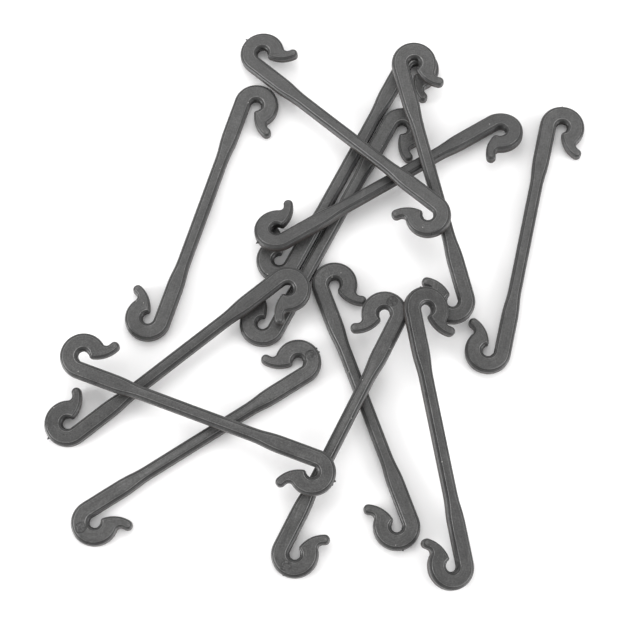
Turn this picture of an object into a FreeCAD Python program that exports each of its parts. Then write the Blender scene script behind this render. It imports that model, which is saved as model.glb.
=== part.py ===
import FreeCAD, Part
import math
import os

# A heap of moulded plant clips. Each clip is one flat ribbon of plastic with a curled
# hook at both ends. X and Y lie along the table, Z is up, and the heap's box stands
# centred on the origin with its lowest faces at zero. All lengths are in millimetres.

# Driving sizes of one clip
clip_length = 80.0  # from the centre of one eye to the centre of the other
thickness = 3.4
eye_diameter = 3.8
ribbon_width = 5.3  # the curl, and the shank beside it
waist_width = 4.1  # the slim middle of the shank
full_width_run = 12.0  # from the eye to where the shank starts to narrow
taper_run = 10.0
tail_bend_radius = 9.5  # inner edge of the finger that leads a stem into the eye
tail_width = 3.0
tail_pivot_drop = 9.55  # centre of the tail's bend, across from the eye
tail_pivot_setback = 0.75  # and back along the shank
tail_tip_angle = 155.0
lip_crest_radius = 0.1  # round that is left of the lip on the flat faces
notch_radius = 1.3
bevel_width = 0.8
bevel_depth = 0.6
weld_gap = 1e-6

# Gaps between clips that lie side by side
twin_gap = 0.6
middle_gap = 0.3
side_gap = 0.5

def polar(centre, radius, angle):
    turn = math.radians(angle)
    return (centre[0] + radius * math.cos(turn), centre[1] + radius * math.sin(turn))


def bearing(centre, point):
    return math.degrees(math.atan2(point[1] - centre[1], point[0] - centre[0]))


# Sizes that follow from them
eye_radius = eye_diameter / 2
hook_radius = eye_radius + ribbon_width
eye_offset = eye_radius + ribbon_width / 2
eye_reach = math.sqrt((clip_length / 2) ** 2 - eye_offset ** 2)
lip_radius = lip_crest_radius + bevel_width
hook_span = eye_offset + hook_radius
tail_outer_radius = tail_bend_radius - tail_width
eye = (eye_reach, -eye_offset)
pivot = (eye_reach - tail_pivot_setback, -eye_offset - tail_pivot_drop)
tail_tip = polar(pivot, tail_bend_radius - tail_width / 2, tail_tip_angle)

# Where each clip lies. Places are shares of the clip's length from the heap's middle,
# the heading is that of the shank in degrees, and the heights of the underside are in
# thicknesses: below the first hook, below the second hook, and the rise to the side.
heap_shares = {
    "base_clip": (0.054, 0.390, 62.5, False, 0.0, 0.0, 0.0),
    "flipped_low_clip": (-0.471, -0.499, 33.0, True, 0.0, 0.0, 0.0),
    "bridge_clip": (0.2815, 0.559, 32.1, False, 0.19, 1.59, -0.8),
    "flipped_steep_clip": (0.080, -0.4715, 63.2, True, 1.58, 0.09, -0.2),
    "ramp_clip": (-0.549, -0.165, 38.4, False, 1.42, 0.12, 0.0),
    "cross_clip": (-0.472, -0.406, 159.0, False, 1.47, 1.77, -0.2),
    "leaning_clip": (0.449, 0.5525, 104.5, False, 2.48, 0.83, 0.0),
    "right_lean_clip": (0.446, -0.4915, 100.9, False, 2.67, 0.27, 0.9),
    "top_clip": (0.098, 0.760, 138.2, False, 0.27, 2.67, -0.2),
}

# Four clips lie flat beside a neighbour and take their place from it, by a share of the
# clip's length along the neighbour's shank or a bearing round its hook.
twin_along_share = 0.264
middle_along_share = -0.221
middle_heading = 110.0
left_along_share = 0.364
left_heading = 71.9
right_bearing = -43.0
right_heading = 77.5


def touching_centre(first, first_reach, second, second_reach):
    """Centre of a round that lies at both reaches, on the clockwise side of the line."""
    apart = math.dist(first, second)
    cosine = (first_reach ** 2 + apart ** 2 - second_reach ** 2) / (2 * first_reach * apart)
    return polar(first, first_reach, bearing(first, second) - math.degrees(math.acos(cosine)))


def hook_arcs(inset):
    """Arcs of the first hook, clockwise from the waist, as (centre, radius, start, end)."""
    notch = touching_centre(eye, hook_radius + notch_radius, pivot, tail_outer_radius - notch_radius)
    lip = touching_centre(eye, eye_radius + lip_radius, pivot, tail_bend_radius - lip_radius)

    wide_end = eye_reach - full_width_run
    slim_end = wide_end - taper_run
    step = (ribbon_width - waist_width) / 2
    sway_radius = (taper_run ** 2 + step ** 2) / (4 * step)
    sway = math.degrees(math.atan2(taper_run / 2, sway_radius - step / 2))
    slim_centre = waist_width / 2 + sway_radius
    wide_centre = ribbon_width / 2 - sway_radius

    notch_end = bearing(pivot, notch)
    lip_start = bearing(pivot, lip)
    lip_end = bearing(lip, eye)
    return [
        ((slim_end, slim_centre), sway_radius + inset, -90, sway - 90),
        ((wide_end, wide_centre), sway_radius - inset, sway + 90, 90),
        (eye, hook_radius - inset, 90, bearing(eye, notch)),
        (notch, notch_radius + inset, bearing(notch, eye), notch_end),
        (pivot, tail_outer_radius + inset, notch_end, tail_tip_angle),
        (tail_tip, tail_width / 2 - inset, tail_tip_angle + 180, tail_tip_angle),
        (pivot, tail_bend_radius - inset, tail_tip_angle, lip_start),
        (lip, lip_radius - inset, lip_start, lip_end),
        (eye, eye_radius + inset, lip_end + 180, 450),
        ((wide_end, -wide_centre), sway_radius - inset, 270, 270 - sway),
        ((slim_end, -slim_centre), sway_radius + inset, 90 - sway, 90),
    ]


def outline(inset, level):
    """Closed outline of the whole clip at one level, drawn in by the inset."""
    arcs = hook_arcs(inset)
    arcs += [((-x, -y), radius, start + 180, end + 180) for (x, y), radius, start, end in arcs]
    edges = []
    last_centre, last_radius, _, last_angle = arcs[-1]
    here = FreeCAD.Vector(*polar(last_centre, last_radius, last_angle), level)
    for centre, radius, start, end in arcs:
        angles = (start, (start + end) / 2, end)
        points = [FreeCAD.Vector(*polar(centre, radius, angle), level) for angle in angles]
        if not here.isEqual(points[0], weld_gap):
            edges.append(Part.LineSegment(here, points[0]).toShape())
        edges.append(Part.Arc(*points).toShape())
        here = points[-1]
    return Part.Wire(edges)


def clip():
    """One clip on its flat face, shank along X, bevelled on both faces all round."""
    levels = [
        outline(bevel_width, 0),
        outline(0, bevel_depth),
        outline(0, thickness - bevel_depth),
        outline(bevel_width, thickness),
    ]
    return Part.makeLoft(levels, True, True)


def spot(shares, x, y):
    """Place in the plan of a point of a clip that lies face up."""
    across, along, heading = shares[:3]
    centre = (across * clip_length, along * clip_length)
    return polar(centre, math.hypot(x, y), heading + bearing((0, 0), (x, y)))


def flat_beside(point, own_point, heading):
    """Shares of a flat clip that is turned to the heading with its own point at the point."""
    back = 180 + heading + bearing((0, 0), own_point)
    centre = polar(point, math.hypot(*own_point), back)
    return (centre[0] / clip_length, centre[1] / clip_length, heading, False, 0.0, 0.0, 0.0)


def side_clips():
    base, top, leaning = (heap_shares[name] for name in ("base_clip", "top_clip", "leaning_clip"))
    wide_beside_slim = ribbon_width / 2 + twin_gap + waist_width / 2
    hook_beside_slim = waist_width / 2 + middle_gap + hook_radius
    hook_beside_wide = ribbon_width / 2 + side_gap + hook_radius
    hook_to_tail = hook_radius + side_gap + tail_width / 2
    twin_point = spot(base, twin_along_share * clip_length, wide_beside_slim)
    middle_point = spot(base, middle_along_share * clip_length, -hook_beside_slim)
    left_point = spot(top, left_along_share * clip_length, hook_beside_wide)
    right_point = polar(spot(leaning, -eye[0], -eye[1]), hook_to_tail, right_bearing)
    second_tip = (-tail_tip[0], -tail_tip[1])
    return {
        "base_twin_clip": flat_beside(twin_point, (0, 0), base[2]),
        "middle_clip": flat_beside(middle_point, eye, middle_heading),
        "left_clip": flat_beside(left_point, eye, left_heading),
        "right_clip": flat_beside(right_point, second_tip, right_heading),
    }


def laid(shape, shares):
    """The clip turned over if need be, tilted and set down at its place in the heap."""
    across, along, heading, flipped, first_low, second_low, side_rise = shares
    if flipped:
        shape = shape.rotated(FreeCAD.Vector(0, 0, thickness / 2), FreeCAD.Vector(1, 0, 0), 180)
    pitch = math.atan2((first_low - second_low) * thickness, 2 * eye_reach)
    roll = math.atan2(side_rise * thickness, hook_span)
    turn = FreeCAD.Rotation(heading, -math.degrees(pitch), math.degrees(roll))
    lift = (first_low + second_low) / 2 * thickness
    spot = FreeCAD.Vector(across * clip_length, along * clip_length, lift)
    placed = shape.copy()
    placed.Placement = FreeCAD.Placement(spot, turn).multiply(shape.Placement)
    return placed


places = heap_shares | side_clips()
heap = {name: laid(clip(), shares) for name, shares in places.items()}
box = Part.makeCompound(list(heap.values())).BoundBox
centring = FreeCAD.Vector(-box.Center.x, -box.Center.y, 0)

os.makedirs("parts", exist_ok=True)
for name, shape in heap.items():
    shape.translated(centring).exportStep(f"parts/{name}.step")
    print(name, "volume", round(shape.Volume, 1), "closed", shape.isClosed(), "valid", shape.isValid())
print("heap", round(box.XLength, 2), round(box.YLength, 2), round(box.ZLength, 2), "low", round(box.ZMin, 3))
print("centring", round(centring.x, 3), round(centring.y, 3))
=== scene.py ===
import math
import bmesh
import bpy
import numpy as np
from mathutils import Matrix, Vector


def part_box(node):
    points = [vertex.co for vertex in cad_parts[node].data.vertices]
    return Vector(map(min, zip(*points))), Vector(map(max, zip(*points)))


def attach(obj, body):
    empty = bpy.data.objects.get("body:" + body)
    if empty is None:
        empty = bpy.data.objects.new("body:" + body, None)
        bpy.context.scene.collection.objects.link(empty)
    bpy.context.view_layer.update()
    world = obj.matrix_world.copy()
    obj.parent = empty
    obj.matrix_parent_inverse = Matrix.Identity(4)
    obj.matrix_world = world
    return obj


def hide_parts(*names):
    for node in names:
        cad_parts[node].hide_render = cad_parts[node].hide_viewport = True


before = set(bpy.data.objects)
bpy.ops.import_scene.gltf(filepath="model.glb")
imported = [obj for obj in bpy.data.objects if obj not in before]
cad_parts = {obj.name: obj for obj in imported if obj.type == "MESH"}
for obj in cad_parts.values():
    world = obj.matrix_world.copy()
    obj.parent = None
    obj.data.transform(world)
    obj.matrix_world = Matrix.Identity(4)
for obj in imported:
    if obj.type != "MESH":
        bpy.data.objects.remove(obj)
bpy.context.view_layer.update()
mm = 0.001  # the dictionaries below are in millimetres, the meshes in metres
print("frame loaded:", len(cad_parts), "clips")


# camera at the photograph's viewing angle, its numbers fitted to the picture
shot = {
    "aim": (-0.31, -5.70, 0.0),  # middle of the picture, on the table
    "distance": 612.4,
    "tilt": 17.73,  # degrees away from looking straight down
    "lens": 109.2,
    "sensor": 36.0,
}


def setCamera():
    tilt = math.radians(shot["tilt"])
    back = Vector((0, -math.sin(tilt), math.cos(tilt)))
    data = bpy.data.cameras.new("photoCamera")
    data.lens = shot["lens"]
    data.sensor_width = shot["sensor"]
    data.clip_start = 0.01
    camera = bpy.data.objects.new("photoCamera", data)
    bpy.context.scene.collection.objects.link(camera)
    camera.location = (Vector(shot["aim"]) + back * shot["distance"]) * mm
    camera.rotation_euler = (tilt, 0, 0)
    bpy.context.scene.camera = camera


setCamera()
print("camera set")


# shape of one clip, shank along X, face up
clipSize = {
    "length": 80.0,  # eye to eye
    "thickness": 3.4,
    "eye": 3.8,
    "ribbon": 5.3,
    "waist": 4.1,
    "fullWidthRun": 12.0,
    "taperRun": 10.0,
    "tailBend": 9.5,
    "tailWidth": 3.0,
    "tailDrop": 9.55,
    "tailSetback": 0.75,
    "tailTipAngle": 155.0,
    "lip": 0.9,
    "notch": 1.3,
}

# edge of the section from the parting line up to the flat face, as (inset, height over mid-plane)
edgeProfile = (
    (-0.045, 0.0),  # crest of the parting line
    (-0.035, 0.045),
    (0.012, 0.10),
    (0.0, 0.22),
    (0.0, 0.80),
    (0.02, 0.98),
    (0.06, 1.12),
    (0.13, 1.22),
    (0.24, 1.315),
    (0.36, 1.395),
    (0.46, 1.45),
    (0.53, 1.44),  # bottom of the crease round the flat face
    (0.61, 1.45),
    (0.67, 1.56),
    (0.725, 1.65),
    (0.785, 1.69),
    (0.87, 1.70),
)

# stations along each stretch of half a clip, from the tail's tip to the middle of the shank
stretchSteps = {
    "cap": 9,
    "tail": 20,
    "lip": 10,
    "hook": 60,
    "run": 20,
    "swayOut": 9,
    "swayIn": 9,
    "waist": 22,
}
# how much wider the bevel is than at the tail, at both ends of each stretch
bevelWiden = {
    "cap": (1.0, 1.0),
    "tail": (1.0, 1.0),
    "lip": (1.0, 1.0),
    "hook": (1.0, 1.25),
    "run": (1.25, 1.25),
    "swayOut": (1.25, 1.35),
    "swayIn": (1.35, 1.42),
    "waist": (1.42, 1.42),
}
hookWidenShare = 0.25  # part of the hook's arc over which the bevel widens
wallInset = 0.05  # insets up to this lie on the side wall and keep their size
# how far the eye's wall leans in at the parting line, and how that fades up the wall and round the arc
eyeDraft = {"depth": 0.30, "height": 1.40, "curve": 0.8, "fade": 0.12}
faceSteps = 10  # quads across the flat face
leastRadius = 0.02


def polar(centre, radius, angle):
    turn = np.radians(angle)
    return np.stack([centre[0] + radius * np.cos(turn), centre[1] + radius * np.sin(turn)], -1)


def bearing(centre, point):
    return math.degrees(math.atan2(point[1] - centre[1], point[0] - centre[0]))


def touchingCentre(first, firstReach, second, secondReach):
    apart = math.dist(first, second)
    cosine = (firstReach ** 2 + apart ** 2 - secondReach ** 2) / (2 * firstReach * apart)
    return polar(first, firstReach, bearing(first, second) - math.degrees(math.acos(cosine)))


def widened(insets, stretch):  # bevel insets at each station of a stretch
    steps = stretchSteps[stretch]
    start, end = bevelWiden[stretch]
    share = np.linspace(0, 1, steps + 1)[1:]
    share = np.minimum(share / hookWidenShare, 1) if stretch == "hook" else share
    factor = start + (end - start) * share
    return np.where(insets[:, None] > wallInset, insets[:, None] * factor, insets[:, None])


def arcPoints(centre, radius, grow, start, end, stretch, insets):
    inward = widened(insets, stretch)
    angles = np.linspace(start, end, inward.shape[1] + 1)[1:] + inward * 0
    return polar(centre, np.maximum(radius + grow * inward, leastRadius), angles)


def eyeWall(insets):  # what the eye's wall leans in at each station, most at mid-height
    heights = np.array([height for _, height in edgeProfile])
    lean = np.clip(1 - heights / eyeDraft["height"], 0, 1) ** eyeDraft["curve"] * eyeDraft["depth"]
    share = np.linspace(0, 1, stretchSteps["hook"] + 1)[1:]
    return lean[:, None] * np.clip(np.minimum(share, 1 - share) / eyeDraft["fade"], 0, 1)


def linePoints(start, end, side, stretch, insets):
    inward = widened(insets, stretch)
    share = np.linspace(0, 1, inward.shape[1] + 1)[1:] + inward * 0
    x = start[0] + (end[0] - start[0]) * share
    return np.stack([x, start[1] + side * inward], -1)


def eyeCentre():  # of the first hook
    drop = clipSize["eye"] / 2 + clipSize["ribbon"] / 2
    return math.sqrt((clipSize["length"] / 2) ** 2 - drop ** 2), -drop


def halfSides(insets):
    c = clipSize
    eyeRadius, halfRibbon, halfWaist = c["eye"] / 2, c["ribbon"] / 2, c["waist"] / 2
    hookRadius = eyeRadius + c["ribbon"]
    eye = eyeCentre()
    reach, drop = eye[0], -eye[1]
    pivot = (reach - c["tailSetback"], -drop - c["tailDrop"])
    outerTail = c["tailBend"] - c["tailWidth"]
    tipAngle = c["tailTipAngle"]
    tip = polar(pivot, c["tailBend"] - c["tailWidth"] / 2, tipAngle)
    notch = touchingCentre(eye, hookRadius + c["notch"], pivot, outerTail - c["notch"])
    lip = touchingCentre(eye, eyeRadius + c["lip"], pivot, c["tailBend"] - c["lip"])
    wideEnd = reach - c["fullWidthRun"]
    slimEnd = wideEnd - c["taperRun"]
    step = halfRibbon - halfWaist
    swayRadius = (c["taperRun"] ** 2 + step ** 2) / (4 * step)
    sway = math.degrees(math.atan2(c["taperRun"] / 2, swayRadius - step / 2))
    wideCentre, slimCentre = swayRadius - halfRibbon, swayRadius + halfWaist

    inner = [
        arcPoints(tip, c["tailWidth"] / 2, -1, tipAngle + 90, tipAngle, "cap", insets),
        arcPoints(pivot, c["tailBend"], -1, tipAngle, bearing(pivot, lip), "tail", insets),
        arcPoints(lip, c["lip"], -1, bearing(pivot, lip), bearing(lip, eye), "lip", insets),
        arcPoints(eye, eyeRadius - eyeWall(insets), 1, bearing(lip, eye) + 180, 450, "hook", insets),
        linePoints((reach, -halfRibbon), (wideEnd, -halfRibbon), 1, "run", insets),
        arcPoints((wideEnd, wideCentre), swayRadius, -1, 270, 270 - sway, "swayOut", insets),
        arcPoints((slimEnd, -slimCentre), swayRadius, 1, 90 - sway, 90, "swayIn", insets),
        linePoints((slimEnd, -halfWaist), (0, -halfWaist), 1, "waist", insets),
    ]
    outer = [
        arcPoints(tip, c["tailWidth"] / 2, -1, tipAngle + 90, tipAngle + 180, "cap", insets),
        arcPoints(pivot, outerTail, 1, tipAngle, bearing(pivot, notch), "tail", insets),
        arcPoints(notch, c["notch"], 1, bearing(pivot, notch), bearing(notch, eye), "lip", insets),
        arcPoints(eye, hookRadius, -1, bearing(eye, notch), 90, "hook", insets),
        linePoints((reach, halfRibbon), (wideEnd, halfRibbon), -1, "run", insets),
        arcPoints((wideEnd, -wideCentre), swayRadius, -1, 90, 90 + sway, "swayOut", insets),
        arcPoints((slimEnd, slimCentre), swayRadius, 1, sway - 90, -90, "swayIn", insets),
        linePoints((slimEnd, halfWaist), (0, halfWaist), -1, "waist", insets),
    ]
    capReach = np.maximum(c["tailWidth"] / 2 - insets, leastRadius)[:, None]
    apex = polar(tip, capReach, tipAngle + 90 + capReach * 0)
    return np.concatenate([apex, *inner], 1), np.concatenate([apex, *outer], 1)


def stripSides(insets):  # both edges of the whole ribbon, from one tail's tip to the other's
    inner, outer = halfSides(insets)
    left = np.concatenate([inner, -outer[:, -2::-1]], 1)
    right = np.concatenate([outer, -inner[:, -2::-1]], 1)
    return left, right


# gentle crown of the shank, and the slow waves of a cooled moulding as (length, depth, phase)
topRelief = {
    "crown": 0.05,
    "endRun": 34.0,  # from each tail's tip, without a crown
    "fade": 8.0,
    "tipFade": 1.5,  # the waves die out over this at each tip
    "waves": ((23.0, 0.010, 0.4), (9.1, 0.006, 1.9)),
}
backRelief = {
    "crown": 0.04,
    "endRun": 30.0,
    "fade": 9.0,
    "tipFade": 1.5,
    "waves": ((19.0, 0.012, 2.2), (7.3, 0.006, 0.3)),
}
waveLean = 0.8  # phase that a wave gains from the middle to the edge, in radians


def faceRelief(along, across, total, relief):
    shank = np.clip((total / 2 - relief["endRun"] - np.abs(along - total / 2)) / relief["fade"], 0, 1)
    shank = shank * shank * (3 - 2 * shank)
    rise = relief["crown"] * (1 - across ** 2) * shank
    for wave, depth, phase in relief["waves"]:
        rise = rise + depth * np.sin(2 * np.pi * along / wave + phase + across * waveLean) * (1 - across ** 4)
    return rise * np.clip(np.minimum(along, total - along) / relief["tipFade"], 0, 1)


meshMarks = {
    "skySlope": 0.8,  # how fast a wall turns from the table's side to the sky's, per millimetre; masks the painted table-side shade
    "seedStep": 7.3,  # keeps the dust of one clip apart from the next one's
    "weld": 1e-5,  # points closer than this become one
    "sliver": 1e-6,  # edges shorter than this are taken out
}


def clipMesh(name, turnedOver, shade):
    insets = np.array([inset for inset, _ in edgeProfile])
    heights = np.array([height for _, height in edgeProfile])
    left, right = stripSides(insets)
    stations = left.shape[1]
    middle = (left[0] + right[0]) / 2
    along = np.concatenate([[0], np.cumsum(np.linalg.norm(np.diff(middle, axis=0), axis=1))])
    total = along[-1]
    shares = np.linspace(0, 1, faceSteps + 1)[1:-1]
    faceAcross = 2 * shares - 1
    mid = clipSize["thickness"] / 2

    def chain(sign, relief):  # from the left edge's parting line over one face to the right's
        rise = faceRelief(along[:, None], faceAcross[None, :], total, relief)
        points, across, band = [], [], []
        for k, height in enumerate(heights):
            points.append(np.column_stack([left[k], np.full(stations, mid + sign * height)]))
            across.append(np.full(stations, -1.0))
            band.append(np.full(stations, 1 - k / (len(heights) - 1)))
        for j, share in enumerate(shares):
            flat = left[-1] * (1 - share) + right[-1] * share
            points.append(np.column_stack([flat, mid + sign * (heights[-1] + rise[:, j])]))
            across.append(np.full(stations, faceAcross[j]))
            band.append(np.zeros(stations))
        for k in range(len(heights) - 1, -1, -1):
            points.append(np.column_stack([right[k], np.full(stations, mid + sign * heights[k])]))
            across.append(np.full(stations, 1.0))
            band.append(np.full(stations, 1 - k / (len(heights) - 1)))
        return points, across, band

    top, back = chain(1, topRelief), chain(-1, backRelief)
    points = top[0] + back[0][-2:0:-1]
    across = top[1] + back[1][-2:0:-1]
    band = top[2] + back[2][-2:0:-1]
    ring = len(points)
    verts = np.stack(points, 1).reshape(-1, 3)
    corner = np.arange(stations * ring).reshape(stations, ring)
    nextCorner = np.roll(corner, -1, axis=1)
    quads = np.stack([corner[:-1], corner[1:], nextCorner[1:], nextCorner[:-1]], -1).reshape(-1, 4)

    mesh = bpy.data.meshes.new(name)
    mesh.from_pydata(verts.tolist(), [], quads.tolist())
    skySlope = -meshMarks["skySlope"] if turnedOver else meshMarks["skySlope"]
    for label, values in (
        ("flowAlong", np.repeat(along[:, None], ring, 1)),
        ("flowAcross", np.stack(across, 1)),
        ("edgeBand", np.stack(band, 1)),
        ("tipReach", np.repeat(np.minimum(along, total - along)[:, None], ring, 1)),
        ("skyHalf", np.clip(0.5 + (verts[:, 2] - mid) * skySlope, 0, 1)),
    ):
        layer = mesh.attributes.new(label, "FLOAT", "POINT")
        layer.data.foreach_set("value", values.ravel().astype(np.float32))
    seed = list(clips).index(name.removesuffix("_body")) * meshMarks["seedStep"]
    for label, value in (("clipSeed", seed), ("clipShade", shade)):
        mesh.attributes.new(label, "FLOAT", "POINT").data.foreach_set("value", [value] * len(verts))
    layer = mesh.attributes.new("clipPlace", "FLOAT_VECTOR", "POINT")
    layer.data.foreach_set("vector", verts.ravel().astype(np.float32))
    return mesh


def closeTips(mesh):  # the ring at each tail's tip shrinks to a line, so its doubles are merged
    work = bmesh.new()
    work.from_mesh(mesh)
    bmesh.ops.remove_doubles(work, verts=work.verts, dist=meshMarks["weld"])
    bmesh.ops.dissolve_degenerate(work, edges=work.edges, dist=meshMarks["sliver"])
    bmesh.ops.recalc_face_normals(work, faces=work.faces)
    for face in work.faces:
        face.smooth = True
    openEdges = sum(1 for edge in work.edges if not edge.is_manifold)
    work.to_mesh(mesh)
    work.free()
    return openEdges


def wedgeVolumes(corners):  # six times the signed volume between the origin and each triangle
    return np.einsum("ij,ij->i", corners[:, 0], np.cross(corners[:, 1], corners[:, 2]))


def ownAxes(mesh, towards):  # centre and own directions of a closed mesh, by its volume
    mesh.calc_loop_triangles()
    points = np.array([v.co for v in mesh.vertices])
    corners = points[np.array([t.vertices for t in mesh.loop_triangles])]
    volumes = wedgeVolumes(corners)
    centre = (volumes[:, None] * corners.sum(1)).sum(0) / (4 * volumes.sum())
    corners = corners - centre
    volumes = wedgeVolumes(corners)
    sums = corners.sum(1)
    spread = np.einsum("i,ij,ik->jk", volumes, sums, sums)
    spread = spread + np.einsum("i,inj,ink->jk", volumes, corners, corners)
    axes = np.linalg.eigh(spread)[1]
    normal, long = axes[:, 0] * np.sign(axes[2, 0]), axes[:, 2]
    long = long * np.sign(long @ np.array(towards))
    return centre, np.column_stack([long, np.cross(normal, long), normal])


def layOn(mesh, node, turnedOver):  # moves a clip's mesh to where its node lies
    if turnedOver:
        lift = Matrix.Translation((0, 0, clipSize["thickness"]))
        mesh.transform(lift @ Matrix.Diagonal((1, -1, -1, 1)))
    mesh.transform(Matrix.Scale(mm, 4))
    centre, axes = ownAxes(mesh, (1, 0, 0))
    nodeCentre, nodeAxes = ownAxes(node.data, (0, 1, 0))
    turn = nodeAxes @ axes.T
    place = Matrix(turn.tolist()).to_4x4()
    place.translation = Vector(nodeCentre - turn @ centre)
    mesh.transform(place)
    return place


# each clip: whether its back is up, how pale it is (partly a tone of its own, partly painted light and shade
# for where it lies), and its gate stubs as (hook, degrees round the eye, reach in mm)
clips = {
    "base_clip": {"turnedOver": False, "shade": 1.17, "stubs": ((2, -3.0, 0.16),)},
    "base_twin_clip": {"turnedOver": False, "shade": 1.14, "stubs": ((2, 4.0, 0.20),)},
    "left_clip": {"turnedOver": False, "shade": 1.1, "stubs": ((1, 2.0, 0.14),)},
    "right_clip": {"turnedOver": False, "shade": 1.1, "stubs": ((1, 10.0, 0.50),)},
    "middle_clip": {"turnedOver": False, "shade": 1.1, "stubs": ((2, -6.0, 0.45),)},
    "flipped_low_clip": {"turnedOver": True, "shade": 1.25, "stubs": ((1, -6.0, 0.42), (1, 5.0, 0.38))},
    "bridge_clip": {"turnedOver": False, "shade": 0.77, "stubs": ((2, 2.0, 0.75),)},
    "flipped_steep_clip": {"turnedOver": True, "shade": 1.16, "stubs": ((2, 3.0, 0.18),)},
    "ramp_clip": {"turnedOver": False, "shade": 0.95, "stubs": ((2, -1.0, 0.60),)},
    "cross_clip": {"turnedOver": False, "shade": 1.16, "stubs": ((2, -1.0, 0.45), (2, -11.0, 0.25))},
    "leaning_clip": {"turnedOver": False, "shade": 1.18, "stubs": ((1, 50.0, 0.16),)},
    "right_lean_clip": {"turnedOver": False, "shade": 0.92, "stubs": ((1, 2.0, 0.36),)},
    "top_clip": {"turnedOver": False, "shade": 0.98, "stubs": ((1, -5.0, 0.95),)},
}
stub = {
    "sides": 12,
    "wide": 0.42,
    "tall": 0.34,
    "sink": 0.02,  # into the hook's wall
    "ragged": ((3, 2, 1, 0.16), (5, 1, 0, 0.10)),  # (waves round the stub, turn, climb, depth)
    "lean": 0.18,  # of the torn end
    "tornFrom": 3,  # the first ring of the torn end
    "rings": ((-0.6, 1.0), (0.0, 1.0), (0.35, 0.78), (0.7, 0.6), (0.93, 0.5), (1.0, 0.28)),  # (reach, size)
    "marks": {"edgeBand": 0.6, "tipReach": 9.0, "skyHalf": 0.5, "clipShade": 0.9},
}


def stubShell(hook, turn, reach, turnedOver):  # torn end of the gate, a small closed shell on the hook
    c = clipSize
    hookRadius = c["eye"] / 2 + c["ribbon"]
    angle = math.radians(turn)
    out = np.array([math.cos(angle), math.sin(angle), 0])
    wide = np.array([-math.sin(angle), math.cos(angle), 0])
    points = []
    for k, (share, size) in enumerate(stub["rings"]):
        for j in range(stub["sides"]):
            around = 2 * math.pi * j / stub["sides"]
            ragged = 1
            for waves, turns, climb, depth in stub["ragged"]:
                ragged += depth * math.sin(waves * around + turns * turn + climb * k)
            lean = stub["lean"] * math.cos(around + turn) if k >= stub["tornFrom"] else 0
            at = out * (hookRadius - stub["sink"] + share * reach * (1 + lean))
            at = at + wide * (stub["wide"] * size * ragged * math.cos(around))
            height = c["thickness"] / 2 + stub["tall"] * size * ragged * math.sin(around)
            points.append(at + np.array([0, 0, height]))
    points = np.array(points) + np.array([*eyeCentre(), 0])
    if hook == 2:
        points[:, :2] *= -1
    if turnedOver:
        points[:, 1:] = np.array([0, c["thickness"]]) - points[:, 1:]
    n, last = stub["sides"], len(stub["rings"]) - 1
    faces = [tuple(range(n))[::-1], tuple(range(last * n, last * n + n))]
    for k in range(last):
        for j in range(n):
            faces.append((k * n + j, k * n + (j + 1) % n, (k + 1) * n + (j + 1) % n, (k + 1) * n + j))
    shell = bpy.data.meshes.new("gateStub")
    shell.from_pydata(points.tolist(), [], faces)
    for label, value in stub["marks"].items():
        shell.attributes.new(label, "FLOAT", "POINT").data.foreach_set("value", [value] * len(points))
    return shell


def joinShells(mesh, shells):
    work = bmesh.new()
    for shell in shells:
        work.from_mesh(shell)
    bmesh.ops.recalc_face_normals(work, faces=work.faces)
    for face in work.faces:
        face.smooth = True
    work.from_mesh(mesh)
    work.to_mesh(mesh)
    work.free()


# matte moulded plastic
plastic = {
    "tone": (0.0426, 0.0422, 0.0417),
    "speck": (0.30, 0.29, 0.28, 1),
    # painted warm reflection and colour fringe on the walls on the table's side
    "paintedWarmReflection": (1.14, 0.89, 0.79, 1),
    "roughness": 0.36,
    # painted highlight and shade across the section, from the flat face (0) out to the parting line (1): a
    # pale line at the flat face's edge, painted shade in the crease and paler walls for the side light
    "sectionLightBands": ((0.0, 1.0), (0.05, 1.2), (0.11, 2.2), (0.17, 1.2), (0.23, 0.22), (0.33, 0.25), (0.40, 0.6),
              (0.58, 0.7), (0.70, 0.95), (0.80, 1.2), (0.92, 1.2), (1.0, 0.75)),
    "bandFull": 3.6,  # palest tone that the bands can hold
    "paintedTableSideShade": {"loss": -0.70, "band": (0.6, 0.8)},  # painted contact shade on the walls on the table's side
    "mottle": {"scale": 190.0, "tones": (0.84, 1.16)},
    "grain": {"scale": 1900.0, "tones": (0.56, 1.50)},
    "flow": {"scale": 2.4, "tones": (0.70, 1.33), "along": 0.06, "across": 2.6, "sway": 8.0},
    "bump": 0.8,
    # scale or depth of each part of the moulded skin's relief, depths in millimetres
    "skin": {"grainScale": 2600.0, "grain": 0.030, "flow": 0.05, "waveScale": 520.0, "waves": 0.05},
    "rough": {"flow": 0.07, "scale": 700.0, "grain": 0.05},
}
eyeLook = {
    "eyeShadeTone": 0.24,  # painted shade inside the eye
    "fade": (2.05, 2.55),
    "eyeHighlight": 2.70,  # reach of the painted highlight ring round the eye
    "rimGain": 1.1,
    "rimWidth": (0.05, 0.24),
    "rimBand": (0.35, 0.55),
    "wearAndHighlightPatches": {"scale": 260.0, "tones": (0.1, 1.0), "levels": (0.38, 0.60)},
}
pinMark = {  # ejector pin's mark on the back of each hook
    "place": (44.1, -3.9),
    "radius": 1.6,
    "wobble": {"scale": 640.0, "reach": 0.22},
    "wearAndHighlightPatches": {"scale": 330.0, "tones": (0.45, 1.0), "levels": (0.40, 0.56)},
    "ring": {"loss": -0.80, "width": (0.08, 0.30), "depth": -0.12},
    "disc": {"loss": -0.50, "edge": (-0.2, 0.1), "depth": -0.10},
    "discWear": {"scale": 1100.0, "tones": (-0.6, 1.7), "levels": (0.35, 0.65)},
    "backDepth": 0.5,  # lower than this is the back of a clip
}
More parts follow.
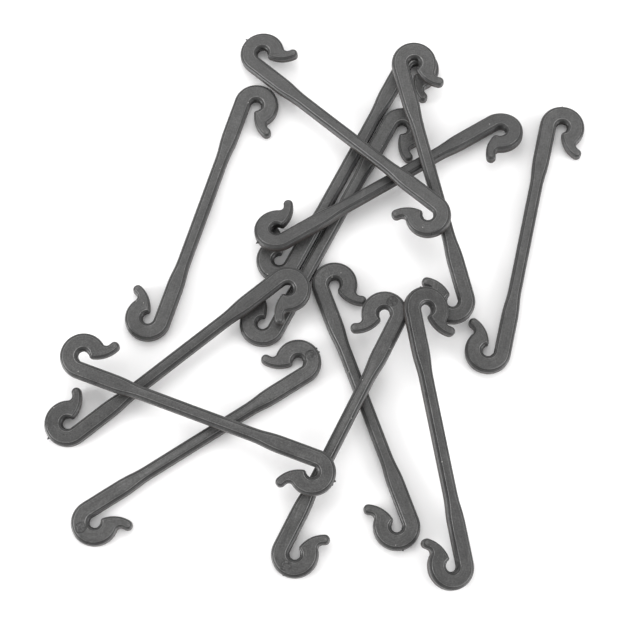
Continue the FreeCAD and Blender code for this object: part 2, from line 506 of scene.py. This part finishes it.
scuffMarks = {
    "lines": ((0.7, 150.0), (-0.5, 210.0)),  # (turn, scale)
    "stretch": 0.16,
    "width": 0.008,
    "where": {"scale": 0.6, "levels": (0.56, 0.64)},
    "gain": 0.55,
    "rough": 0.12,
    "depth": -0.012,
}
tipSpot = {"gain": 0.9, "run": (0.7, 2.0), "across": (0.3, 0.95)}
paintedBackSheen = {"gain": 0.34, "run": (22.0, 31.0), "across": (0.35, 0.95)}
dust = {"spread": 0.16, "size": 0.024, "bare": 0.90}  # bare is the share of places without a speck


class Tree:  # short hand for laying nodes
    def __init__(self, owner):
        owner.use_nodes = True
        self.tree = owner.node_tree
        self.tree.nodes.clear()

    def add(self, kind, out=0, settings=None, **inputs):
        made = self.tree.nodes.new(kind)
        for label, value in (settings or {}).items():
            setattr(made, label, value)
        for label, value in inputs.items():
            label = int(label[1:]) if label[0] == "i" and label[1:].isdigit() else label.replace("_", " ")
            if isinstance(value, bpy.types.NodeSocket):
                self.tree.links.new(value, made.inputs[label])
            else:
                made.inputs[label].default_value = value
        return made.outputs[out]

    def maths(self, operation, first, second=0.0, third=0.0):
        return self.add("ShaderNodeMath", 0, {"operation": operation}, i0=first, i1=second, i2=third)

    def attribute(self, name, out="Fac"):
        return self.add("ShaderNodeAttribute", out, {"attribute_name": name})

    def noise(self, vector, scale, detail=2.0, roughness=0.5, distortion=0.0):
        return self.add("ShaderNodeTexNoise", "Fac", None, Vector=vector, Scale=scale, Detail=detail,
                        Roughness=roughness, Distortion=distortion)

    def spread(self, value, low, high, fromLow=0.3, fromHigh=0.7):
        return self.add("ShaderNodeMapRange", 0, None, Value=value, From_Min=fromLow, From_Max=fromHigh,
                        To_Min=low, To_Max=high)

    def fadeOut(self, value, ends):  # 1 up to the first end, 0 from the second on
        return self.spread(value, 1.0, 0.0, *ends)

    def patchy(self, vector, detail, facts, roughness=0.5):
        patches = self.noise(vector, facts["scale"], detail, roughness)
        return self.spread(patches, *facts["tones"], *facts.get("levels", ()))

    def times(self, *values):
        total = values[0]
        for value in values[1:]:
            total = self.maths("MULTIPLY", total, value)
        return total


def plasticMaterial():
    material = bpy.data.materials.new("clipPlastic")
    t = Tree(material)
    place = t.add("ShaderNodeTexCoord", "Object")
    own = t.attribute("clipPlace", "Vector")
    along, across, band = (t.attribute(label) for label in ("flowAlong", "flowAcross", "edgeBand"))
    ownX, ownY, ownZ = t.add("ShaderNodeSeparateXYZ", 0, None, Vector=own).node.outputs

    # painted shade inside the eye, and a painted highlight ring round its edge
    side = t.maths("SIGN", ownX)
    foldX = t.maths("ABSOLUTE", ownX)
    foldY = t.maths("MULTIPLY", ownY, side)

    def reachFrom(x, y):
        offX, offY = t.maths("SUBTRACT", foldX, x), t.maths("SUBTRACT", foldY, y)
        return t.maths("SQRT", t.maths("ADD", t.times(offX, offX), t.times(offY, offY)))

    eyeReach = reachFrom(*eyeCentre())
    paintedEyeShade = t.fadeOut(eyeReach, eyeLook["fade"])
    # painted highlight ring round the eye, broken up by noise
    rimOff = t.maths("ABSOLUTE", t.maths("SUBTRACT", eyeReach, eyeLook["eyeHighlight"]))
    eyeHighlight = t.times(t.fadeOut(rimOff, eyeLook["rimWidth"]), t.patchy(place, 2.0, eyeLook["wearAndHighlightPatches"]),
                  t.fadeOut(band, eyeLook["rimBand"]))
    eyeHighlightTone = t.maths("MULTIPLY_ADD", eyeHighlight, eyeLook["rimGain"], 1.0)

    # tone: painted highlight and shade of the section bands, slow mottle, fine grain, flow lines down the
    # ribbon
    rampNode = t.add("ShaderNodeValToRGB", 0, None, Fac=band).node
    ramp = rampNode.color_ramp
    ramp.interpolation = "EASE"
    for n, (spot, level) in enumerate(plastic["sectionLightBands"]):
        stop = ramp.elements[n] if n < 2 else ramp.elements.new(spot)
        stop.position = spot
        stop.color = (level / plastic["bandFull"],) * 3 + (1,)
    paintedLightTone = t.maths("MULTIPLY", rampNode.outputs["Color"], plastic["bandFull"])
    # painted contact shade on the walls on the table's side, masked by skyHalf
    lowBand = t.spread(band, 0.0, 1.0, *plastic["paintedTableSideShade"]["band"])
    paintedTableSideShade = t.times(t.maths("SUBTRACT", 1.0, t.attribute("skyHalf")), lowBand)
    tableSideShadeTone = t.maths("MULTIPLY_ADD", paintedTableSideShade, plastic["paintedTableSideShade"]["loss"], 1.0)
    paintedLightTone = t.times(paintedLightTone, tableSideShadeTone, t.spread(paintedEyeShade, 1.0, eyeLook["eyeShadeTone"], 0.0, 1.0))
    mottle = t.patchy(place, 4.0, plastic["mottle"], 0.6)
    grain = t.patchy(place, 3.0, plastic["grain"], 0.75)
    lines = plastic["flow"]
    flowPlace = t.add("ShaderNodeCombineXYZ", 0, None, X=t.maths("MULTIPLY", along, lines["along"]),
                      Y=t.maths("MULTIPLY", across, lines["across"]), Z=t.noise(place, lines["sway"]))
    flow = t.noise(flowPlace, lines["scale"], 5.0, 0.62)
    flowTone = t.spread(flow, *lines["tones"])

    # fine scuffs: narrow bands of two stretched noises, only in places
    scuffs = None
    for turn, scale in scuffMarks["lines"]:
        leaned = t.add("ShaderNodeMapping", 0, None, Vector=place, Rotation=(0.0, 0.0, turn),
                       Scale=(1.0, scuffMarks["stretch"], 1.0))
        line = t.maths("ABSOLUTE", t.maths("SUBTRACT", t.noise(leaned, scale, 1.0), 0.5))
        thin = t.fadeOut(line, (0.0, scuffMarks["width"]))
        patches = t.noise(place, scale * scuffMarks["where"]["scale"])
        scuff = t.times(thin, t.spread(patches, 0.0, 1.0, *scuffMarks["where"]["levels"]))
        scuffs = scuff if scuffs is None else t.maths("MAXIMUM", scuffs, scuff)
    scuffTone = t.maths("MULTIPLY_ADD", scuffs, scuffMarks["gain"], 1.0)

    # ejector pin's ring on the back face of both hooks
    wobble = pinMark["wobble"]
    shift = t.spread(t.noise(place, wobble["scale"], 2.0), -wobble["reach"], wobble["reach"])
    reach = t.maths("ADD", reachFrom(*pinMark["place"]), shift)
    ringOff = t.maths("ABSOLUTE", t.maths("SUBTRACT", reach, pinMark["radius"]))
    back = t.maths("LESS_THAN", ownZ, pinMark["backDepth"])
    ring = t.times(t.fadeOut(ringOff, pinMark["ring"]["width"]), back, t.patchy(place, 1.0, pinMark["wearAndHighlightPatches"]))
    discEdge = [pinMark["radius"] + off for off in pinMark["disc"]["edge"]]
    disc = t.times(t.fadeOut(reach, discEdge), back, t.patchy(place, 3.0, pinMark["discWear"], 0.7))
    ringTone = t.maths("MULTIPLY_ADD", ring, pinMark["ring"]["loss"], 1.0)
    discTone = t.maths("MULTIPLY_ADD", disc, pinMark["disc"]["loss"], 1.0)

    # paler spot on each tail's tip
    offMiddle = t.maths("ABSOLUTE", across)
    tip = t.times(t.fadeOut(t.attribute("tipReach"), tipSpot["run"]), t.fadeOut(offMiddle, tipSpot["across"]))
    tipTone = t.maths("MULTIPLY_ADD", tip, tipSpot["gain"], 1.0)

    # a few dust specks
    seed = t.attribute("clipSeed")
    shift = t.add("ShaderNodeCombineXYZ", 0, None, X=seed, Y=seed)
    speckPlace = t.add("ShaderNodeVectorMath", 0, {"operation": "MULTIPLY_ADD"}, i0=own,
                       i1=(dust["spread"], dust["spread"], 0.0), i2=shift)
    cells = t.add("ShaderNodeTexVoronoi", 0, {"voronoi_dimensions": "2D"}, Vector=speckPlace, Scale=1.0).node
    dot = t.maths("LESS_THAN", cells.outputs["Distance"], dust["size"])
    cellRed = t.add("ShaderNodeSeparateColor", 0, None, Color=cells.outputs["Color"])
    speck = t.times(dot, t.maths("GREATER_THAN", cellRed, dust["bare"]))

    # painted sheen: the back's shank is painted paler down its middle, for the light on its dish
    shank = t.times(back, t.fadeOut(foldX, paintedBackSheen["run"]))
    middle = t.spread(offMiddle, 1.0, -0.5, *paintedBackSheen["across"])
    backTone = t.maths("MULTIPLY_ADD", t.times(shank, middle), paintedBackSheen["gain"], 1.0)

    tone = t.times(paintedLightTone, eyeHighlightTone, mottle, grain, flowTone, scuffTone, ringTone, discTone, tipTone,
                   backTone, t.attribute("clipShade"))
    base = t.add("ShaderNodeVectorMath", 0, {"operation": "SCALE"}, i0=plastic["tone"], Scale=tone)
    # painted warm reflection and colour fringe, laid on with the painted table-side shade
    paintedWarmReflection = t.add("ShaderNodeMix", 2, {"data_type": "RGBA", "blend_type": "MULTIPLY"}, i0=paintedTableSideShade, i6=base,
                 i7=plastic["paintedWarmReflection"])
    colour = t.add("ShaderNodeMix", 2, {"data_type": "RGBA"}, i0=speck, i6=paintedWarmReflection, i7=plastic["speck"])

    feel = plastic["rough"]
    grainRough = t.spread(t.noise(place, feel["scale"], 3.0), -feel["grain"], feel["grain"])
    rough = t.maths("ADD", t.spread(flow, -feel["flow"], feel["flow"]), grainRough)
    rough = t.maths("ADD", rough, t.maths("MULTIPLY_ADD", scuffs, scuffMarks["rough"], plastic["roughness"]))

    # relief of the moulded skin
    skin = plastic["skin"]
    height = t.maths("MULTIPLY", t.noise(place, skin["grainScale"], 2.0), skin["grain"])
    height = t.maths("MULTIPLY_ADD", flow, skin["flow"], height)
    height = t.maths("MULTIPLY_ADD", t.noise(place, skin["waveScale"], 3.0), skin["waves"], height)
    height = t.maths("MULTIPLY_ADD", ring, pinMark["ring"]["depth"], height)
    height = t.maths("MULTIPLY_ADD", disc, pinMark["disc"]["depth"], height)
    height = t.maths("MULTIPLY_ADD", scuffs, scuffMarks["depth"], height)
    bump = t.add("ShaderNodeBump", 0, None, Height=height, Distance=mm, Strength=plastic["bump"])

    shader = t.add("ShaderNodeBsdfPrincipled", 0, None, Base_Color=colour, Roughness=rough, Normal=bump)
    out = t.tree.nodes.new("ShaderNodeOutputMaterial")
    t.tree.links.new(shader, out.inputs["Surface"])
    return material


def makeClips():
    material = plasticMaterial()
    for name, facts in clips.items():
        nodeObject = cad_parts[name]
        mesh = clipMesh(name + "_body", facts["turnedOver"], facts["shade"])
        openEdges = closeTips(mesh)
        place = layOn(mesh, nodeObject, facts["turnedOver"])
        shells = [stubShell(*spot, facts["turnedOver"]) for spot in facts["stubs"]]
        for shell in shells:
            shell.transform(place @ Matrix.Scale(mm, 4))
        joinShells(mesh, shells)
        piece = bpy.data.objects.new(name + "_body", mesh)
        bpy.context.scene.collection.objects.link(piece)
        mesh.materials.append(material)
        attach(piece, name)
        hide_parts(name)
        low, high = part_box(name)
        mine = np.array([v.co for v in mesh.vertices])
        off = max(abs(mine.min(0) - np.array(low)).max(), abs(mine.max(0) - np.array(high)).max())
        print(name, "faces", len(mesh.polygons), "open edges", openEdges, "off by", round(off / mm, 3), "mm")


makeClips()

# table and studio light, each lamp turned to the middle of the heap
table = {"side": 3000.0, "colour": (0.955, 0.95, 0.95, 1), "roughness": 0.6, "shine": 0.3}
light = {
    "keyLight": {"place": (-60.0, 620.0, 850.0), "size": (900.0, 900.0), "power": 3.9},
    "leftBox": {"place": (-960.0, -230.0, 320.0), "size": (600.0, 420.0), "power": 9.0},
    "rightBox": {"place": (930.0, -340.0, 350.0), "size": (600.0, 420.0), "power": 6.6},
}
# radiance everywhere, and what is added straight overhead and towards both sides
sky = {"base": 1.03, "overhead": -0.46, "sides": 0.86}


def aimAt(thing, target):
    thing.rotation_euler = (Vector(target) - thing.location).to_track_quat("-Z", "Y").to_euler()


def setTable():
    half = table["side"] / 2 * mm
    mesh = bpy.data.meshes.new("tableTop")
    corners = [(-half, -half, 0), (half, -half, 0), (half, half, 0), (-half, half, 0)]
    mesh.from_pydata(corners, [], [(0, 1, 2, 3)])
    top = bpy.data.objects.new("tableTop", mesh)
    bpy.context.scene.collection.objects.link(top)
    material = bpy.data.materials.new("tablePaper")
    material.use_nodes = True
    shader = material.node_tree.nodes["Principled BSDF"]
    shader.inputs["Base Color"].default_value = table["colour"]
    shader.inputs["Roughness"].default_value = table["roughness"]
    shader.inputs["Specular IOR Level"].default_value = table["shine"]
    mesh.materials.append(material)


def setLamps():
    for name, facts in light.items():
        data = bpy.data.lights.new(name, "AREA")
        data.shape = "RECTANGLE"
        data.size, data.size_y = (side * mm for side in facts["size"])
        data.energy = facts["power"]
        lamp = bpy.data.objects.new(name, data)
        bpy.context.scene.collection.objects.link(lamp)
        lamp.location = Vector(facts["place"]) * mm
        aimAt(lamp, (0, 0, 0))


def setSky():
    world = bpy.data.worlds.new("studio")
    t = Tree(world)
    split = t.add("ShaderNodeSeparateXYZ", 0, None, Vector=t.add("ShaderNodeTexCoord", "Generated")).node
    sideways, upward = split.outputs["X"], t.maths("ABSOLUTE", split.outputs["Z"])
    radiance = t.maths("MULTIPLY_ADD", upward, sky["overhead"], sky["base"])
    radiance = t.maths("MULTIPLY_ADD", t.times(sideways, sideways), sky["sides"], radiance)
    glow = t.add("ShaderNodeBackground", 0, None, Color=(1, 1, 1, 1), Strength=radiance)
    out = t.tree.nodes.new("ShaderNodeOutputWorld")
    t.tree.links.new(glow, out.inputs["Surface"])
    bpy.context.scene.world = world
    bpy.context.scene.view_settings.view_transform = "Standard"


setTable()
setLamps()
setSky()
print("table and light set")
